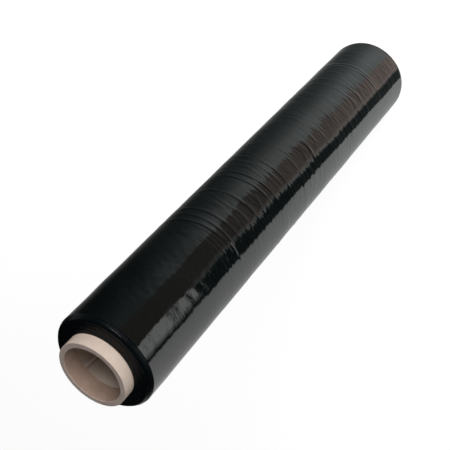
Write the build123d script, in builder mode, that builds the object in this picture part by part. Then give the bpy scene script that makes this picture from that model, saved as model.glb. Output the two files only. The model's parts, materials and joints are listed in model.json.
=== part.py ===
"""A hand roll of black stretch film wound on a cardboard core.

Millimetres. The roll stands on the lower cut end of its core. The origin is the
centre of that end, and +Z runs up the axis of the roll.
"""

import os

from build123d import *

# Driving dimensions
film_width = 500.0  # length of core that the innermost turns cover
film_build = 13.25  # thickness of the wound film, from the core to the outermost turn
core_bore = 50.0  # inside diameter of the core
core_wall = 4.5  # thickness of the wound card
core_overhang = 11.0  # bare core beyond the film, the same at both ends
end_crown = 1.6  # how far the turns draw back from the core out to the shoulder
shoulder_radius = 4.6  # rounding where the end of the winding turns into its side
cut_edge_break = 0.3  # dulled edge where the core is sawn off

# Sizes that follow from them
bore_radius = core_bore / 2
core_radius = bore_radius + core_wall
core_length = film_width + 2 * core_overhang
film_radius = core_radius + film_build
film_low = core_overhang
film_high = film_low + film_width
shoulder = min(shoulder_radius, 0.9 * film_build)
edge_break = min(cut_edge_break, 0.4 * core_wall)


# Cardboard core: one spiral-wound tube, sawn square at both ends
with BuildPart() as cardboard_core:
    with BuildSketch():
        Circle(core_radius)
        Circle(bore_radius, mode=Mode.SUBTRACT)
    extrude(amount=core_length)
    sawn_edges = cardboard_core.edges().filter_by(GeomType.CIRCLE)
    chamfer(sawn_edges, length=edge_break)
cardboard_core.part.label = "cardboard_core"


# Film winding: the turns are one solid, wound hard onto the core. Each end is
# crowned, because the outer turns pull in a little narrower than the inner ones.
with BuildPart() as film_winding:
    with BuildSketch(Plane.XZ) as film_section:
        with BuildLine():
            Polyline(
                (core_radius, film_low),
                (film_radius, film_low + end_crown),
                (film_radius, film_high - end_crown),
                (core_radius, film_high),
                close=True,
            )
        make_face()
        outer_corners = film_section.vertices().group_by(Axis.X)[-1]
        fillet(outer_corners, radius=shoulder)
    revolve(axis=Axis.Z)
film_winding.part.label = "film_winding"


os.makedirs("parts", exist_ok=True)
export_step(cardboard_core.part, "parts/cardboard_core.step")
export_step(film_winding.part, "parts/film_winding.step")
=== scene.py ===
"""The looks of a hand roll of black stretch film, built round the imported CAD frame.

Metres, +Z up the axis of the roll, which stands on the lower end of its core.
Angles round the roll are measured from -Y, the side that faces the camera,
towards -X.
"""

import json
import math

import bpy
import numpy as np
from mathutils import Matrix, Vector


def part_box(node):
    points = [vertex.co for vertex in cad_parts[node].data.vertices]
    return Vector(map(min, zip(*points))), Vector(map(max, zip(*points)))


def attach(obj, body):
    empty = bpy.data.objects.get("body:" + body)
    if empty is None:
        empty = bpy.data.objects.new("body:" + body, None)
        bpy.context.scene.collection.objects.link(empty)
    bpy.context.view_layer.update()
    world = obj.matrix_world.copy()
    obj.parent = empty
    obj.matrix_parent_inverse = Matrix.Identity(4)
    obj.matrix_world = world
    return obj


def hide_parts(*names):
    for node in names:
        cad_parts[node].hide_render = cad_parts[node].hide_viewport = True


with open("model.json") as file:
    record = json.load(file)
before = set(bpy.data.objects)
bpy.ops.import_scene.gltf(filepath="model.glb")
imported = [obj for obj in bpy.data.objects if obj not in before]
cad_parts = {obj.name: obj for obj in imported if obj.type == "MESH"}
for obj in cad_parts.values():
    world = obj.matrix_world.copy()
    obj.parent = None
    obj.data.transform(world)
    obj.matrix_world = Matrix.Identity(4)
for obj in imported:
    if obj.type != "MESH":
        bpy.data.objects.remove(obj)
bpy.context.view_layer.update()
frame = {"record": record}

MM = 0.001


# ---------------------------------------------------------------- sizes from the frame
film_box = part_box("film_winding")
core_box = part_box("cardboard_core")
FILM_LOW = film_box[0][2]
FILM_HIGH = film_box[1][2]
FILM_RADIUS = (film_box[1][0] - film_box[0][0]) / 2
CORE_LOW = core_box[0][2]
CORE_HIGH = core_box[1][2]
CORE_RADIUS = (core_box[1][0] - core_box[0][0]) / 2
mounts = {mount["name"]: mount for mount in frame["record"]["mounts"]}
BORE_RADIUS = mounts["core_bore"]["dims"]["r_mm"] * MM


# ---------------------------------------------------------------- small helpers
def grid_mesh(name, rings, closed):
    """A mesh from an array of rings of points (ring, point, xyz), each ring joined to
    the next, and the last to the first where closed is true."""
    ring_count, around, _ = rings.shape
    index = np.arange(ring_count * around).reshape(ring_count, around)
    upper = index if closed else index[:-1]
    lower = np.roll(index, -1, axis=0) if closed else index[1:]
    quads = np.stack(
        [upper, lower, np.roll(lower, -1, axis=1), np.roll(upper, -1, axis=1)], axis=-1
    )
    mesh = bpy.data.meshes.new(name)
    mesh.from_pydata(rings.reshape(-1, 3).tolist(), [], quads.reshape(-1, 4).tolist())
    mesh.update()
    piece = bpy.data.objects.new(name, mesh)
    bpy.context.scene.collection.objects.link(piece)
    for polygon in mesh.polygons:
        polygon.use_smooth = True
    return piece


def wave_field(angle, height, rng, count, turns, lengths):
    """A smooth random field of unit spread over the roll's side: a sum of waves with
    whole numbers of waves round the roll and wavelengths up it within `lengths`."""
    total = np.zeros(np.broadcast(angle, height).shape)
    for _ in range(count):
        around = rng.integers(turns[0], turns[1] + 1) * rng.choice([-1, 1])
        along = math.tau / rng.uniform(lengths[0], lengths[1])
        total += np.cos(around * angle + along * height + rng.uniform(0, math.tau))
    return total * math.sqrt(2 / count)


def ease(low, high, value):
    """0 below low, 1 above high, and a smooth rise between."""
    x = np.clip((value - low) / (high - low), 0, 1)
    return x * x * (3 - 2 * x)


# ---------------------------------------------------------------- film winding
FILM_SEED = 41
FILM_AROUND = 144
SIDE_ROWS = 570
SHOULDER_ROWS = 34
FACE_ROWS = 18
END_CROWN = 1.4 * MM  # how far the flat of the end has drawn back where the shoulder starts
SHOULDER_WIDTH = 3.6 * MM
SHOULDER_DROP = 4.9 * MM
SHOULDER_TURN = math.radians(72)  # less than a right angle, so the outer edge stays crisp

# Distances below the upper end of the winding of the tight creases that cross the
# front of the roll.
FRONT_CREASES_MM = (
    133, 140, 150, 180, 204, 212, 229, 237, 263,
    290, 316, 322, 367, 389, 401, 434, 439,
)
CREASE_WIDTH = 1.1 * MM
BACK_CREASES = 34
FINE_CREASES = 420

# Blisters of trapped air in the smooth upper stretch: distance below the upper end,
# angle, radius and rise.
BLISTERS = (
    (66 * MM, math.radians(21), 6.5 * MM, 0.13 * MM),
    (80 * MM, math.radians(20), 7.0 * MM, 0.17 * MM),
    (91 * MM, math.radians(18), 5.0 * MM, 0.13 * MM),
    (42 * MM, math.radians(12), 5.0 * MM, 0.06 * MM),
    (29 * MM, math.radians(10), 4.5 * MM, 0.05 * MM),
    (18 * MM, math.radians(11), 4.0 * MM, 0.05 * MM),
)


def crease(angle, down, rng, place, middle, rise, width, reach):
    """One narrow ridge that runs part of the way round the roll."""
    slant = rng.uniform(-2.0, 2.0) * MM
    turn = (angle - middle + math.pi) % math.tau - math.pi
    fade = np.exp(-((turn / reach) ** 4))
    offset = down - place - slant * np.sin(turn)
    return rise * fade * np.exp(-((offset / width) ** 2))


def creases(angle, down, rng):
    """Narrow ridges where the film was pulled tight as it was wound."""
    height = np.zeros_like(angle * down)
    for place in FRONT_CREASES_MM:
        middle = math.radians(rng.uniform(-55, -5))
        reach = math.radians(rng.uniform(40, 75))
        rise = rng.uniform(0.11, 0.2) * MM
        height += crease(angle, down, rng, place * MM, middle, rise, CREASE_WIDTH, reach)
    for _ in range(BACK_CREASES):
        place = rng.uniform(120, 470) * MM
        middle = math.radians(rng.uniform(60, 250))
        reach = math.radians(rng.uniform(25, 60))
        rise = rng.uniform(0.08, 0.18) * MM
        height += crease(angle, down, rng, place, middle, rise, CREASE_WIDTH, reach)
    for _ in range(FINE_CREASES):
        place = rng.uniform(112, 484) * MM
        middle = rng.uniform(-math.pi, math.pi)
        reach = math.radians(rng.uniform(12, 50))
        rise = rng.uniform(0.01, 0.06) * MM
        width = rng.uniform(0.8, 1.4) * MM
        height += crease(angle, down, rng, place, middle, rise, width, reach)
    return height


def blisters(angle, down):
    """Round bumps where air is shut under the film."""
    height = np.zeros_like(angle * down)
    for place, middle, reach, rise in BLISTERS:
        turn = (angle - middle + math.pi) % math.tau - math.pi
        apart = np.hypot(down - place, turn * FILM_RADIUS)
        height += rise * np.exp(-((apart / reach) ** 2) * 1.6)
    return height


def wrinkles(angle, down, rng):
    """How far the film stands out from its mean side, in metres. down is the distance
    below the upper end of the winding."""
    rough = 0.06 + 0.94 * ease(85 * MM, 200 * MM, down)
    rough = rough * (1 - 0.55 * ease(455 * MM, 480 * MM, down))
    patchy = 0.65 + 0.35 * wave_field(angle, down, rng, 12, (1, 4), (40 * MM, 120 * MM))
    # slack bands where the film is wound looser, long round the roll and short along it
    bands = wave_field(angle, down, rng, 70, (5, 16), (4 * MM, 14 * MM))
    nicks = wave_field(angle, down, rng, 70, (14, 32), (2.6 * MM, 6 * MM))
    # soft hollows over the whole roll
    hollows = wave_field(angle, down, rng, 40, (2, 6), (30 * MM, 90 * MM))
    # small round bubbles of air under the smooth upper stretch
    bubbles = wave_field(angle, down, rng, 60, (8, 26), (7 * MM, 18 * MM))
    height = rough * np.clip(patchy, 0.2, 1.3) * (0.03 * MM * bands + 0.010 * MM * nicks)
    height += 0.05 * MM * hollows
    height += 0.012 * MM * (1 - 0.7 * rough) * bubbles
    return height + blisters(angle, down) + creases(angle, down, rng)


# Spacing along the end and height of the stepped edges of the turns
LAYER_STEPS = ((1.15 * MM, 0.10 * MM), (2.7 * MM, 0.13 * MM))


def end_profile():
    """Radius and distance back from the end, from the core out to the side."""
    flat_outer = FILM_RADIUS - SHOULDER_WIDTH
    across = np.arange(FACE_ROWS) / FACE_ROWS
    turn = SHOULDER_TURN * np.arange(SHOULDER_ROWS) / SHOULDER_ROWS
    out = SHOULDER_WIDTH * np.sin(turn) / math.sin(SHOULDER_TURN)
    drop = SHOULDER_DROP * (1 - np.cos(turn)) / (1 - math.cos(SHOULDER_TURN))
    radius = np.concatenate([CORE_RADIUS + across * (flat_outer - CORE_RADIUS), flat_outer + out])
    back = np.concatenate([END_CROWN * across, END_CROWN + drop])
    return radius, back


def end_rows(side_row, angle, seed):
    """The rings of one end of the winding: (radius, distance back) all round, for each
    row from the core out to the side."""
    rng = np.random.default_rng(seed)
    flat = np.zeros_like(angle)
    wander = 0.35 * MM * wave_field(angle, flat, rng, 6, (1, 4), (1.0, 2.0))
    lean = 0.12 * MM * wave_field(angle, flat, rng, 5, (1, 4), (1.0, 2.0))
    profile_radius, profile_back = end_profile()
    out_slope = np.gradient(profile_radius)
    back_slope = np.gradient(profile_back)
    slope = np.hypot(out_slope, back_slope)
    path = np.cumsum(slope)
    rows = []
    for index, (radius, back) in enumerate(zip(profile_radius, profile_back)):
        share = (radius - CORE_RADIUS) / (FILM_RADIUS - CORE_RADIUS)
        wound = path[index] + wander
        step = sum(rise * (wound / pitch % 1.0 - 0.5) for pitch, rise in LAYER_STEPS)
        step = step * ease(0.0, 0.1, share) * (1 - ease(0.985, 1.0, share))
        out = radius + share**6 * (side_row - FILM_RADIUS) - step * back_slope[index] / slope[index]
        rows.append((out, back + lean * share + step * out_slope[index] / slope[index]))
    return rows


def film_winding():
    angle = np.linspace(0, math.tau, FILM_AROUND, endpoint=False)
    side_back = END_CROWN + SHOULDER_DROP
    down = np.linspace(side_back, FILM_HIGH - FILM_LOW - side_back, SIDE_ROWS)
    rng = np.random.default_rng(FILM_SEED)
    side = FILM_RADIUS + wrinkles(angle[None, :], down[:, None], rng)
    upper_end = end_rows(side[0], angle, FILM_SEED + 1)
    lower_end = end_rows(side[-1], angle, FILM_SEED + 2)
    rows = [(radius, FILM_HIGH - back) for radius, back in upper_end]
    rows += [(radius, FILM_HIGH - depth) for radius, depth in zip(side, down)]
    rows += [(radius, FILM_LOW + back) for radius, back in reversed(lower_end)]
    points = np.zeros((len(rows), FILM_AROUND, 3))
    for ring, (radius, height) in zip(points, rows):
        ring[:, 0] = -radius * np.sin(angle)
        ring[:, 1] = -radius * np.cos(angle)
        ring[:, 2] = height
    piece = grid_mesh("film_roll", points, closed=True)
    piece.data.materials.append(film_material())
    piece.data.materials.append(film_edge_material())
    row_of = np.repeat(np.arange(len(rows)), FILM_AROUND)
    at_end = (row_of < len(upper_end)) | (row_of >= len(rows) - len(lower_end))
    piece.data.polygons.foreach_set("material_index", at_end.astype(np.int32))
    sharpen_rings(piece, FILM_AROUND, (len(upper_end), len(upper_end) + SIDE_ROWS - 1))
    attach(piece, "root")
    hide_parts("film_winding")


def sharpen_rings(piece, around, rings):
    """Marks the edges that run along these rings of a grid mesh as sharp."""
    ends = np.zeros(2 * len(piece.data.edges), np.int32)
    piece.data.edges.foreach_get("vertices", ends)
    ring_of = ends.reshape(-1, 2) // around
    along = (ring_of[:, 0] == ring_of[:, 1]) & np.isin(ring_of[:, 0], rings)
    piece.data.edges.foreach_set("use_edge_sharp", along)


# ---------------------------------------------------------------- cardboard core
CORE_SEED = 7
CORE_AROUND = 192
BORE_ROW_STEP = 4 * MM
PLY_COUNT = 9
PLY_RISE = 0.07 * MM  # how unevenly the plies were sawn
CUT_FUZZ = 0.035 * MM
EDGE_BREAK = 0.3 * MM
SKIN_START = 1.5 * EDGE_BREAK  # distance from a sawn end to the first ring of bore and outside
OUTSIDE_RINGS = 31
SEAM_PITCH = 112 * MM  # rise of the spiral seam in one turn
SEAM_DEPTH = 0.16 * MM
SEAM_WIDTH = 1.6 * MM
BORE_SEAM_ANGLE = math.radians(118)  # where the seams reach the upper end
OUTER_SEAM_ANGLE = math.radians(160)


def seam_dip(angle, radius):
    """Depth of the gap between neighbouring turns of the last ply, by angle from it."""
    along = ((angle + math.pi) % math.tau - math.pi) * radius
    return SEAM_DEPTH * np.exp(-((along / SEAM_WIDTH) ** 4))


def cut_end(rng, angle):
    """Rows of (radius, distance below the end) across one sawn end, outside to inside."""
    wall = CORE_RADIUS - BORE_RADIUS
    flat = np.zeros_like(angle)
    rows = []
    for share in np.linspace(0, 1, 4 * PLY_COUNT + 1):
        ply = int(share * PLY_COUNT * 0.9999)
        ply_rng = np.random.default_rng(CORE_SEED + ply)
        sunk = PLY_RISE * (0.5 + 0.5 * wave_field(angle, flat, ply_rng, 8, (1, 9), (1.0, 2.0)))
        fuzz = CUT_FUZZ * rng.normal(size=angle.shape)
        edge = min(share, 1 - share) * wall
        rounding = EDGE_BREAK * (1 - ease(0, EDGE_BREAK, edge)) * 0.8
        rows.append((CORE_RADIUS - share * wall, np.abs(sunk + fuzz) + rounding))
    return rows


def cardboard_core():
    rng = np.random.default_rng(CORE_SEED)
    angle = np.linspace(0, math.tau, CORE_AROUND, endpoint=False)
    upper = [(radius, CORE_HIGH - below, angle) for radius, below in cut_end(rng, angle)]
    lower = [(radius, CORE_LOW + above, angle) for radius, above in cut_end(rng, angle)]
    length = CORE_HIGH - CORE_LOW
    bore_rings = round(length / BORE_ROW_STEP)
    bore = []
    for depth in np.linspace(SKIN_START, length - SKIN_START, bore_rings):
        twist = math.tau * depth / SEAM_PITCH
        sunk = seam_dip(angle - BORE_SEAM_ANGLE, BORE_RADIUS)
        bore.append((BORE_RADIUS + sunk, CORE_HIGH - depth, angle + twist))
    # The outside comes back up from the lower end to the upper end. Known fault: its
    # rings under the film are too far apart for their turn with the seam, so the faces
    # between them cave in through the bore.
    outside = []
    bare = CORE_HIGH - FILM_HIGH
    corners = (CORE_LOW + SKIN_START, CORE_LOW + bare, CORE_HIGH - bare, CORE_HIGH - SKIN_START)
    for height in np.interp(np.linspace(0, 3, OUTSIDE_RINGS), range(4), corners):
        twist = math.tau * (CORE_HIGH - height) / SEAM_PITCH
        sunk = seam_dip(angle - OUTER_SEAM_ANGLE, CORE_RADIUS)
        outside.append((CORE_RADIUS - sunk, height, angle + twist))
    rows = upper + bore + lower[::-1] + outside
    points = np.zeros((len(rows), CORE_AROUND, 3))
    for ring, (radius, height, turned) in zip(points, rows):
        ring[:, 0] = -radius * np.sin(turned)
        ring[:, 1] = -radius * np.cos(turned)
        ring[:, 2] = height
    piece = grid_mesh("cardboard_tube", points, closed=True)
    piece.data.materials.append(core_paper("core_outer_paper", OUTER_PAPER))
    piece.data.materials.append(cut_board())
    # the bore's darker paper is partly its own tone and partly painted shade inside the tube
    piece.data.materials.append(core_paper("core_bore_paper_and_painted_shade", BORE_PAPER_AND_PAINTED_SHADE))
    kinds = [1] * len(upper) + [2] * len(bore) + [1] * len(lower) + [0] * len(outside)
    kind_of = np.repeat(kinds, CORE_AROUND).astype(np.int32)
    piece.data.polygons.foreach_set("material_index", kind_of)
    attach(piece, "root")
    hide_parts("cardboard_core")


# ---------------------------------------------------------------- materials
OUTER_PAPER = ((0.62, 0.505, 0.425, 1), (0.74, 0.61, 0.515, 1))
# The bore's paper is darker than the outside. This is partly the inner ply's own kraft tone and
# partly painted shade for the dim inside of the tube.
BORE_PAPER_AND_PAINTED_SHADE = ((0.34, 0.235, 0.18, 1), (0.46, 0.33, 0.265, 1))
CUT_DARK = (0.44, 0.345, 0.30, 1)
CUT_LIGHT = (0.80, 0.67, 0.60, 1)


def new_material(name):
    material = bpy.data.materials.new(name)
    material.use_nodes = True
    nodes = material.node_tree.nodes
    return material, nodes, material.node_tree.links, nodes["Principled BSDF"]


def noise(nodes, links, vector, scale, detail=4.0, roughness=0.55):
    texture = nodes.new("ShaderNodeTexNoise")
    texture.inputs["Scale"].default_value = scale
    texture.inputs["Detail"].default_value = detail
    texture.inputs["Roughness"].default_value = roughness
    links.new(vector, texture.inputs["Vector"])
    return texture.outputs["Fac"]


def object_place(nodes, links, scale=(1, 1, 1)):
    """Object coordinates stretched by scale."""
    place = nodes.new("ShaderNodeTexCoord")
    mapping = nodes.new("ShaderNodeMapping")
    mapping.inputs["Scale"].default_value = scale
    links.new(place.outputs["Object"], mapping.inputs["Vector"])
    return mapping.outputs["Vector"]


def map_range(nodes, links, value, low, high, to_low, to_high):
    node = nodes.new("ShaderNodeMapRange")
    node.inputs["From Min"].default_value = low
    node.inputs["From Max"].default_value = high
    node.inputs["To Min"].default_value = to_low
    node.inputs["To Max"].default_value = to_high
    links.new(value, node.inputs["Value"])
    return node.outputs["Result"]


def math_node(nodes, links, operation, *values):
    node = nodes.new("ShaderNodeMath")
    node.operation = operation
    for index, value in enumerate(values):
        if isinstance(value, (int, float)):
            node.inputs[index].default_value = value
        else:
            links.new(value, node.inputs[index])
    return node.outputs[0]


def colour_mix(nodes, links, factor, first, second):
    node = nodes.new("ShaderNodeValToRGB")
    node.color_ramp.elements[0].color = first
    node.color_ramp.elements[1].color = second
    links.new(factor, node.inputs["Fac"])
    return node.outputs["Color"]


def bump(nodes, links, height, distance, strength=1.0, under=None):
    node = nodes.new("ShaderNodeBump")
    node.inputs["Distance"].default_value = distance
    node.inputs["Strength"].default_value = strength
    links.new(height, node.inputs["Height"])
    if under is not None:
        links.new(under, node.inputs["Normal"])
    return node.outputs["Normal"]


def film_material():
    """Glossy black film: fine tension streaks round the roll and small blisters."""
    material, nodes, links, shader = new_material("black_stretch_film")
    shader.inputs["Base Color"].default_value = (0.0012, 0.0028, 0.0028, 1)
    shader.inputs["IOR"].default_value = 1.5
    shader.inputs["Coat Weight"].default_value = 1.0
    shader.inputs["Coat IOR"].default_value = 1.5
    shader.inputs["Coat Roughness"].default_value = 0.03
    streaks = noise(nodes, links, object_place(nodes, links, (22, 22, 1000)), 1.0, 5.0)
    blisters = noise(nodes, links, object_place(nodes, links, (1, 1, 1.3)), 330.0, 2.0)
    links.new(map_range(nodes, links, streaks, 0.3, 0.7, 0.02, 0.10), shader.inputs["Roughness"])
    normal = bump(nodes, links, blisters, 0.05 * MM)
    normal = bump(nodes, links, streaks, 0.03 * MM, 1.0, normal)
    links.new(normal, shader.inputs["Normal"])
    links.new(normal, shader.inputs["Coat Normal"])
    return material


def radius_of(nodes, links):
    """Distance from the axis of the roll, in metres."""
    flat = nodes.new("ShaderNodeVectorMath")
    flat.operation = "LENGTH"
    links.new(object_place(nodes, links, (1, 1, 0)), flat.inputs[0])
    return flat.outputs["Value"]


def ring_noise(nodes, links, around, pitch, detail=3.0):
    """Noise drawn out into rings about the axis: `around` is its scale round the ring
    and pitch its spacing from ring to ring, in metres."""
    place = object_place(nodes, links, (around, around, 0))
    rings = math_node(nodes, links, "DIVIDE", radius_of(nodes, links), pitch)
    stack = nodes.new("ShaderNodeCombineXYZ")
    links.new(rings, stack.inputs["Z"])
    join = nodes.new("ShaderNodeVectorMath")
    join.operation = "ADD"
    links.new(place, join.inputs[0])
    links.new(stack.outputs["Vector"], join.inputs[1])
    return noise(nodes, links, join.outputs[0], 1.0, detail)


def film_edge_material():
    """The wound edges of the film: a stack of turns that swallows most light."""
    material, nodes, links, shader = new_material("film_turn_edges")
    shader.inputs["Base Color"].default_value = (0.0015, 0.003, 0.004, 1)
    shader.inputs["IOR"].default_value = 1.5
    shader.inputs["Specular IOR Level"].default_value = 0.16
    turns = ring_noise(nodes, links, 12, 0.35 * MM)
    links.new(map_range(nodes, links, turns, 0.35, 0.6, 0.12, 0.5), shader.inputs["Roughness"])
    links.new(bump(nodes, links, turns, 0.10 * MM), shader.inputs["Normal"])
    return material


def core_paper(name, colours):
    """Smooth grey-brown paper with clouds of tone and fibres that run along the core."""
    material, nodes, links, shader = new_material(name)
    clouds = noise(nodes, links, object_place(nodes, links), 90.0, 6.0, 0.6)
    fibre = noise(nodes, links, object_place(nodes, links, (1, 1, 0.25)), 1500.0, 3.0)
    cloud_part = math_node(nodes, links, "MULTIPLY", clouds, 0.65)
    blend = math_node(nodes, links, "MULTIPLY_ADD", fibre, 0.35, cloud_part)
    tone = map_range(nodes, links, blend, 0.3, 0.7, 0.0, 1.0)
    links.new(colour_mix(nodes, links, tone, *colours), shader.inputs["Base Color"])
    shader.inputs["Roughness"].default_value = 0.75
    shader.inputs["Specular IOR Level"].default_value = 0.3
    links.new(bump(nodes, links, fibre, 0.04 * MM), shader.inputs["Normal"])
    return material


def cut_board():
    """Sawn edge of the wound card: rings of ply with rough fibre over them."""
    material, nodes, links, shader = new_material("core_sawn_edge")
    plies = ring_noise(nodes, links, 60, 0.5 * MM, 2.0)
    fibre = noise(nodes, links, object_place(nodes, links), 1400.0, 4.0, 0.7)
    ply_part = math_node(nodes, links, "MULTIPLY", plies, 0.4)
    blend = math_node(nodes, links, "MULTIPLY_ADD", fibre, 0.6, ply_part)
    tone = map_range(nodes, links, blend, 0.36, 0.64, 0.0, 1.0)
    links.new(colour_mix(nodes, links, tone, CUT_DARK, CUT_LIGHT), shader.inputs["Base Color"])
    shader.inputs["Roughness"].default_value = 0.9
    shader.inputs["Specular IOR Level"].default_value = 0.15
    links.new(bump(nodes, links, blend, 0.15 * MM), shader.inputs["Normal"])
    return material


# ---------------------------------------------------------------- light
def soft_step(nodes, links, value, low, high):
    """0 where value is below low, 1 above high, smooth between."""
    node = nodes.new("ShaderNodeMapRange")
    node.interpolation_type = "SMOOTHSTEP"
    node.inputs["From Min"].default_value = low
    node.inputs["From Max"].default_value = high
    links.new(value, node.inputs["Value"])
    return node.outputs["Result"]


def tinted(nodes, links, amount, colour):
    """colour times amount."""
    node = nodes.new("ShaderNodeVectorMath")
    node.operation = "SCALE"
    node.inputs[0].default_value = colour
    links.new(amount, node.inputs["Scale"])
    return node.outputs[0]


def add_colours(nodes, links, colours):
    total = colours[0]
    for colour in colours[1:]:
        node = nodes.new("ShaderNodeVectorMath")
        node.operation = "ADD"
        links.new(total, node.inputs[0])
        links.new(colour, node.inputs[1])
        total = node.outputs[0]
    return total


def curve(nodes, links, value, low, high, stops):
    """A brightness drawn through stops of (value, brightness), between low and high."""
    ramp = nodes.new("ShaderNodeValToRGB")
    elements = ramp.color_ramp.elements
    while len(elements) > 1:
        elements.remove(elements[-1])
    for index, (place, light) in enumerate(stops):
        position = (place - low) / (high - low)
        stop = elements[0] if index == 0 else elements.new(position)
        stop.position = position
        stop.color = (light, light, light, 1)
    share = map_range(nodes, links, value, low, high, 0.0, 1.0)
    links.new(share, ramp.inputs["Fac"])
    return ramp.outputs["Color"]


# Brightness of the pale table by azimuth in degrees, before its edges are cut
TABLE_RIGHT = (
    (60, 0.66), (84, 0.60), (100, 0.50), (116, 0.41),
    (132, 0.33), (150, 0.31), (180, 0.30),
)
TABLE_LEFT = (
    (-180, 0.26), (-172, 0.22), (-164, 0.17), (-156, 0.11),
    (-148, 0.065), (-138, 0.03), (-122, 0.0),
)
TABLE_BY_DIP = (
    (0.0, 1.5), (0.5, 1.35), (0.6, 1.0), (0.7, 0.97),
    (0.8, 1.0), (0.85, 0.9), (1.0, 0.7),
)
CEILING_BY_AZIMUTH = (
    (-118, 0.0), (-90, 0.07), (-75, 0.18), (-58, 0.40),
    (-42, 0.76), (-24, 1.0), (10, 1.0),
)
# Brightness by dip, the sine of the angle below the horizon
ROOM_BY_DIP = (
    (0.0, 0.01), (0.56, 0.008), (0.62, 0.022), (0.70, 0.028),
    (0.76, 0.04), (0.84, 0.07), (0.92, 0.2), (1.0, 0.38),
)
CEILING_BY_DIP = (
    (0.0, 0.08), (0.56, 0.09), (0.61, 0.15), (0.68, 0.34),
    (0.71, 0.43), (0.75, 0.48), (0.84, 0.46), (1.0, 0.5),
)
WALL_BY_DIP = (
    (0.0, 0.05), (0.56, 0.07), (0.64, 0.07), (0.68, 0.10),
    (0.73, 0.19), (0.78, 0.26), (0.84, 0.42), (1.0, 0.6),
)
FOLIAGE_BY_DIP = (
    (0.0, 0.0), (0.61, 0.0), (0.66, 0.5), (0.72, 1.0),
    (0.78, 0.9), (0.82, 0.3), (0.86, 0.0),
)
# Past these dips the two edges of the table lean, by degrees of azimuth to a unit of dip
RIGHT_LEAN_START = 0.74
RIGHT_LEAN = 120.0
LEFT_LEAN_START = 0.68
LEFT_LEAN = 60.0


def studio_reflections(nodes, links):
    """What shines in the film, by direction: the pale table that reaches behind it, a
    window, a warm wall with foliage beside it, a dim ceiling, a small lamp and two
    strips of light, in a dark room."""
    place = nodes.new("ShaderNodeTexCoord")
    split = nodes.new("ShaderNodeSeparateXYZ")
    links.new(place.outputs["Generated"], split.inputs[0])
    x, y, z = split.outputs

    def calc(operation, *values):
        return math_node(nodes, links, operation, *values)

    def between(value, low, low_soft, high, high_soft):
        rise = soft_step(nodes, links, value, low - low_soft, low + low_soft)
        fall = soft_step(nodes, links, value, high - high_soft, high + high_soft)
        return calc("SUBTRACT", rise, fall)

    def leaning(start, amount):
        lean = calc("MULTIPLY", calc("SUBTRACT", dip, start), amount)
        return calc("MAXIMUM", lean, 0.0)

    azimuth = calc("ARCTAN2", calc("MULTIPLY", x, -1.0), calc("MULTIPLY", y, -1.0))
    azimuth = calc("MULTIPLY", azimuth, 180 / math.pi)
    dip = calc("MULTIPLY", z, -1.0)

    def below(value, limit, soft):
        return soft_step(nodes, links, calc("SUBTRACT", limit, value), -soft, soft)

    deep = soft_step(nodes, links, dip, 0.42, 0.52)
    right_edge = calc("SUBTRACT", azimuth, leaning(RIGHT_LEAN_START, RIGHT_LEAN))
    table = curve(nodes, links, azimuth, 60, 180, TABLE_RIGHT)
    table = calc("MULTIPLY", table, soft_step(nodes, links, right_edge, 68.0, 71.5))
    left_edge = calc("SUBTRACT", azimuth, leaning(LEFT_LEAN_START, LEFT_LEAN))
    other_side = curve(nodes, links, left_edge, -180, -122, TABLE_LEFT)
    other_side = calc("MULTIPLY", other_side, below(azimuth, -95.0, 5.0))
    table = calc("MULTIPLY", calc("ADD", table, other_side), deep)
    table = calc("MULTIPLY", table, curve(nodes, links, dip, 0, 1, TABLE_BY_DIP))

    room = curve(nodes, links, dip, 0, 1, ROOM_BY_DIP)
    # the straight edges of the room lean as they dip
    ceiling_end = map_range(nodes, links, dip, 0.70, 0.84, -20.0, 2.0)
    wall_end = map_range(nodes, links, dip, 0.66, 0.84, 29.0, 53.0)
    ceiling = curve(nodes, links, azimuth, -118, 10, CEILING_BY_AZIMUTH)
    ceiling = calc("MULTIPLY", ceiling, below(azimuth, ceiling_end, 1.0))
    ceiling = calc("MULTIPLY", ceiling, curve(nodes, links, dip, 0, 1, CEILING_BY_DIP))
    wall = below(azimuth, wall_end, 3.0)
    wall = calc("SUBTRACT", wall, below(azimuth, ceiling_end, 1.0))
    wall = calc("MULTIPLY", wall, curve(nodes, links, dip, 0, 1, WALL_BY_DIP))
    leaves = noise(nodes, links, place.outputs["Generated"], 60.0, 3.0, 0.7)
    leaves = map_range(nodes, links, leaves, 0.42, 0.62, 0.15, 1.5)
    line_place = calc("SUBTRACT", azimuth, wall_end)
    line = between(line_place, -7.0, 3.0, 3.0, 3.0)
    line = calc("MULTIPLY", line, curve(nodes, links, dip, 0, 1, FOLIAGE_BY_DIP))
    line = calc("MULTIPLY", line, leaves)
    window = between(azimuth, 27, 1.5, 58, 9)
    window = calc("MULTIPLY", window, between(dip, -0.35, 0.1, 0.600, 0.010))
    lamp = between(azimuth, -34, 6, -8, 4)
    lamp = calc("MULTIPLY", lamp, between(dip, -0.3, 0.03, -0.18, 0.03))
    strips = calc("ADD", between(azimuth, 140, 4, 156, 4), between(azimuth, -122, 4, -108, 4))
    strips = calc("MULTIPLY", strips, between(dip, -0.3, 0.1, 0.47, 0.05))
    return add_colours(
        nodes,
        links,
        [
            table,
            tinted(nodes, links, room, (0.92, 1.06, 1.04)),
            tinted(nodes, links, ceiling, (0.97, 1.01, 1.01)),
            tinted(nodes, links, wall, (1.22, 0.95, 0.83)),
            tinted(nodes, links, line, (0.40, 0.43, 0.44)),
            tinted(nodes, links, window, (0.98, 1.02, 0.98)),
            tinted(nodes, links, lamp, (14.0, 14.0, 14.0)),
            tinted(nodes, links, strips, (0.8, 0.8, 0.8)),
        ],
    )


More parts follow.
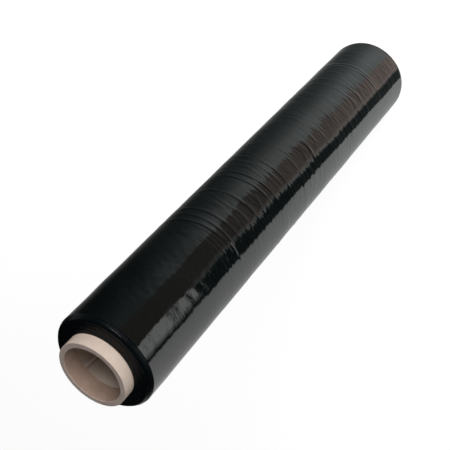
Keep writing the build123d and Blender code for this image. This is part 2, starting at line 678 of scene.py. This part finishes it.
def ray_switch(nodes, links, ray, otherwise, then):
    """otherwise, or then on that kind of ray."""
    node = nodes.new("ShaderNodeMix")
    node.data_type = "RGBA"
    links.new(ray, node.inputs["Factor"])
    a, b = [socket for socket in node.inputs if socket.type == "RGBA"]
    for socket, value in ((a, otherwise), (b, then)):
        if isinstance(value, tuple):
            socket.default_value = value
        else:
            links.new(value, socket)
    return [socket for socket in node.outputs if socket.type == "RGBA"][0]


# Plain light for all that isn't glossy, by height in the sky
SKY_BY_HEIGHT = ((-1, 0.6), (0.0, 0.62), (0.3, 0.5), (0.5, 0.16), (1.0, 0.05))


def world_light():
    """A plain sky, white behind the scene, and the studio in what is glossy."""
    world = bpy.data.worlds.new("studio")
    bpy.context.scene.world = world
    world.use_nodes = True
    world.cycles.sampling_method = "NONE"
    nodes, links = world.node_tree.nodes, world.node_tree.links
    path = nodes.new("ShaderNodeLightPath")
    place = nodes.new("ShaderNodeTexCoord")
    split = nodes.new("ShaderNodeSeparateXYZ")
    links.new(place.outputs["Generated"], split.inputs[0])
    sky = curve(nodes, links, split.outputs["Z"], -1, 1, SKY_BY_HEIGHT)
    studio = studio_reflections(nodes, links)
    shine = ray_switch(nodes, links, path.outputs["Is Glossy Ray"], sky, studio)
    seen = ray_switch(nodes, links, path.outputs["Is Camera Ray"], shine, (1, 1, 1, 1))
    links.new(seen, nodes["Background"].inputs["Color"])


KEY_PLACE = Vector((0.25, -1.9, 0.98))
KEY_AIM = Vector((0, 0, 0.3))
KEY_WIDTH = 1.4
KEY_WATTS = 28


def key_light():
    lamp = bpy.data.lights.new("key", "AREA")
    lamp.shape = "DISK"
    lamp.size = KEY_WIDTH
    lamp.energy = KEY_WATTS
    light = bpy.data.objects.new("key", lamp)
    bpy.context.scene.collection.objects.link(light)
    light.location = KEY_PLACE
    light.rotation_euler = (KEY_AIM - KEY_PLACE).to_track_quat("-Z", "Y").to_euler()
    light.visible_camera = False
    light.visible_glossy = False


FLOOR_HALF = 4.0
FLOOR_GREY = 0.7
FLOOR_GLOW = 0.80  # added for the camera only, so that the floor shows white


def floor():
    """A pale floor that keeps the roll's shadow."""
    signs = ((-1, -1), (1, -1), (1, 1), (-1, 1))
    corners = [(x * FLOOR_HALF, y * FLOOR_HALF, 0) for x, y in signs]
    mesh = bpy.data.meshes.new("floor")
    mesh.from_pydata(corners, [], [(0, 1, 2, 3)])
    ground = bpy.data.objects.new("floor", mesh)
    bpy.context.scene.collection.objects.link(ground)
    material, nodes, links, shader = new_material("pale_floor")
    shader.inputs["Base Color"].default_value = (FLOOR_GREY, FLOOR_GREY, FLOOR_GREY, 1)
    shader.inputs["Roughness"].default_value = 0.9
    shader.inputs["Specular IOR Level"].default_value = 0.0
    shader.inputs["Emission Color"].default_value = (1, 1, 1, 1)
    path = nodes.new("ShaderNodeLightPath")
    glow = math_node(nodes, links, "MULTIPLY", path.outputs["Is Camera Ray"], FLOOR_GLOW)
    links.new(glow, shader.inputs["Emission Strength"])
    mesh.materials.append(material)
    ground.visible_glossy = False


# ---------------------------------------------------------------- camera
CAMERA_PLACE = Vector((0.0, -0.5556, 0.8371))
CAMERA_AIM = Vector((0.0035, 0.0, 0.3246))
CAMERA_ROLL = math.radians(137.05)
CAMERA_LENS = 68.98


def add_camera():
    camera = bpy.data.objects.new("camera", bpy.data.cameras.new("camera"))
    bpy.context.scene.collection.objects.link(camera)
    forward = (CAMERA_AIM - CAMERA_PLACE).normalized()
    level = forward.cross(Vector((0, 0, 1))).normalized()
    upright = level.cross(forward)
    up = math.cos(CAMERA_ROLL) * upright + math.sin(CAMERA_ROLL) * level
    right = forward.cross(up)
    turn = Matrix((right, up, -forward)).transposed()
    camera.matrix_world = Matrix.Translation(CAMERA_PLACE) @ turn.to_4x4()
    camera.data.lens = CAMERA_LENS
    bpy.context.scene.camera = camera


# ---------------------------------------------------------------- the scene
film_winding()
cardboard_core()
world_light()
key_light()
floor()
add_camera()
bpy.context.scene.view_settings.view_transform = "Standard"
